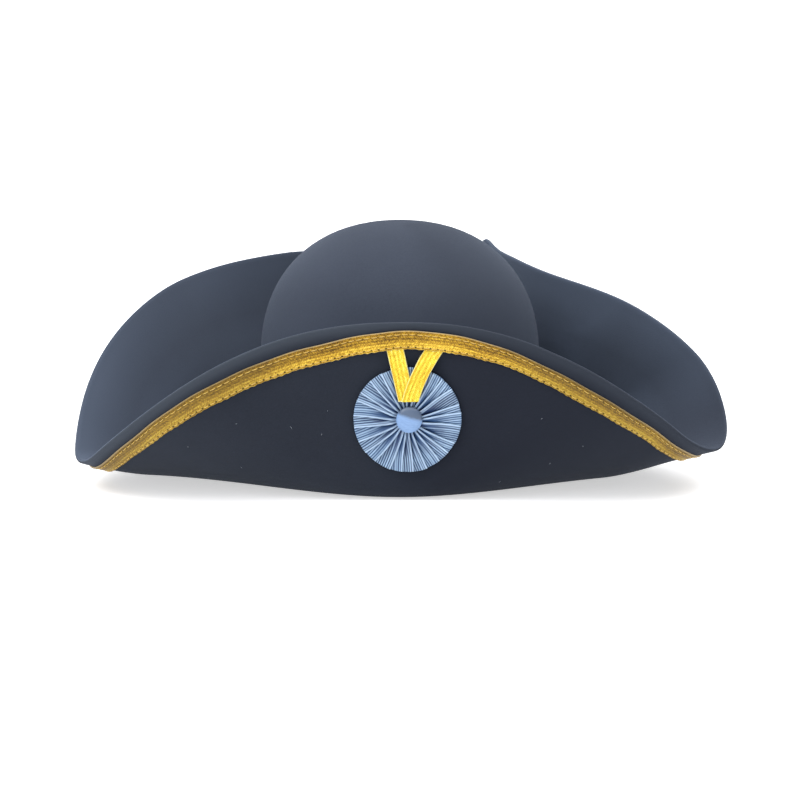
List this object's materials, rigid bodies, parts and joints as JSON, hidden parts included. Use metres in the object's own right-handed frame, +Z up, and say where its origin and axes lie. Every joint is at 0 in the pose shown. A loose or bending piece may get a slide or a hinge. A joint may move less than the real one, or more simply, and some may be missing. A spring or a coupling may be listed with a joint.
{
  "type": "tricorne hat",
  "caption": "Dark felt tricorne hat: round crown, brim folded up into flaps and horns, gold braid along the rim, and a pleated blue cockade with a gold lace V on the front flap",
  "frame": {"origin": "middle of the hat's extent in plan, on the surface that the brim rests on", "axes": "+Z up, out of the crown's top; the front flap with the cockade faces -Y; +X is the viewer's right when looking at the front, the wearer's left"},
  "size_m": [0.3744, 0.3582, 0.14],
  "materials": {
    "felt": "matt blue-black wool felt with a short nap",
    "gold_braid": "woven gold braid, half dull",
    "blue_ribbon": "light blue grosgrain ribbon in knife pleats",
    "blue_satin": "light blue satin, soft shine",
    "gold_lace": "woven bright gold lace, half dull"
  },
  "bodies": {
    "root": {"felt_body": "felt", "edge_braid": "gold_braid", "cockade": "blue_ribbon", "cockade_button": "blue_satin", "v_lace": "gold_lace"}
  },
  "joints": []
}
